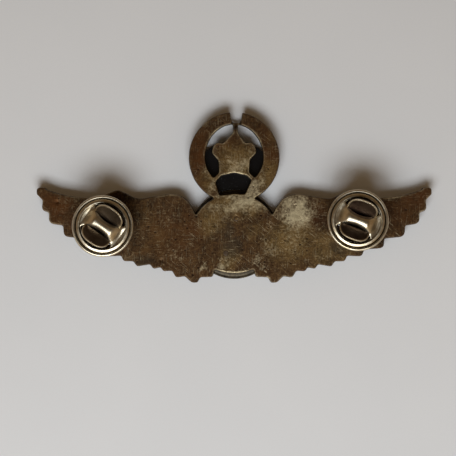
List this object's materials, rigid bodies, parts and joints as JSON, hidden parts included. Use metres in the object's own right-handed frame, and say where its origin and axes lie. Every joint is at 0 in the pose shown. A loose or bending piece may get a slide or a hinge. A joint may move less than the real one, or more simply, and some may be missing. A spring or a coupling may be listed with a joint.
{
  "type": "pilot wings badge",
  "caption": "Struck metal wings badge with an open wreath, a star and a round medallion, held by butterfly clutches on back posts.",
  "frame": {"origin": "on the surface that the badge lies on face down, under the middle of its outline", "axes": "+X towards the right wing tip seen from the back, +Y towards the wreath, +Z out of the back, along the posts"},
  "size_m": [0.0762, 0.033, 0.0115],
  "materials": {
    "plate": "old dark patina, worn and scratched",
    "medal": "dull grey-green patina",
    "post": "drawn wire, tarnished",
    "solder": "dull grey solder",
    "clutch": "polished nickel, warm and slightly tarnished",
    "wire": "drawn spring wire"
  },
  "bodies": {
    "badge": {"wing_plate": "plate", "medallion": "medal", "upper_rivet": "medal", "lower_rivet": "medal", "left_post": "post", "right_post": "post", "left_solder": "solder", "right_solder": "solder"},
    "left_base": {"left_cup": "clutch"},
    "left_head": {"left_cap": "clutch", "left_spring": "wire"},
    "left_wing_a": {"left_ear_a": "clutch"},
    "left_wing_b": {"left_ear_b": "clutch"},
    "right_base": {"right_cup": "clutch"},
    "right_head": {"right_cap": "clutch", "right_spring": "wire"},
    "right_wing_a": {"right_ear_a": "clutch"},
    "right_wing_b": {"right_ear_b": "clutch"}
  },
  "joints": [
    {"name": "left_clutch_slide", "type": "slide", "parent": "badge", "child": "left_base", "axis": [0, 0, 1], "range_m": [0, 0.009]},
    {"name": "left_clutch_spin", "type": "hinge", "parent": "left_base", "child": "left_head", "pos_m": [-0.0248, -0.0055, 0.0088], "axis": [0, 0, 1], "continuous": true},
    {"name": "left_ear_a_pinch", "type": "hinge", "parent": "left_head", "child": "left_wing_a", "pos_m": [-0.02397, -0.00431, 0.0091], "axis": [0.8192, -0.5736, 0], "range_deg": [0, 15], "stiffness_Nm_per_rad": 0.01, "springref_deg": -5.73},
    {"name": "left_ear_b_pinch", "type": "hinge", "parent": "left_head", "child": "left_wing_b", "pos_m": [-0.02563, -0.00669, 0.0091], "axis": [0.8192, -0.5736, 0], "range_deg": [-15, 0]},
    {"name": "right_clutch_slide", "type": "slide", "parent": "badge", "child": "right_base", "axis": [0, 0, 1], "range_m": [0, 0.009]},
    {"name": "right_clutch_spin", "type": "hinge", "parent": "right_base", "child": "right_head", "pos_m": [0.0233, -0.0044, 0.0088], "axis": [0, 0, 1], "continuous": true},
    {"name": "right_ear_a_pinch", "type": "hinge", "parent": "right_head", "child": "right_wing_a", "pos_m": [0.02382, -0.00305, 0.0091], "axis": [0.9336, -0.3584, 0], "range_deg": [0, 15], "stiffness_Nm_per_rad": 0.01, "springref_deg": -5.73},
    {"name": "right_ear_b_pinch", "type": "hinge", "parent": "right_head", "child": "right_wing_b", "pos_m": [0.02278, -0.00575, 0.0091], "axis": [0.9336, -0.3584, 0], "range_deg": [-15, 0]}
  ],
  "couplings": [
    {"joint": "left_ear_b_pinch", "follows": "left_ear_a_pinch", "ratio": -1},
    {"joint": "right_ear_b_pinch", "follows": "right_ear_a_pinch", "ratio": -1}
  ]
}
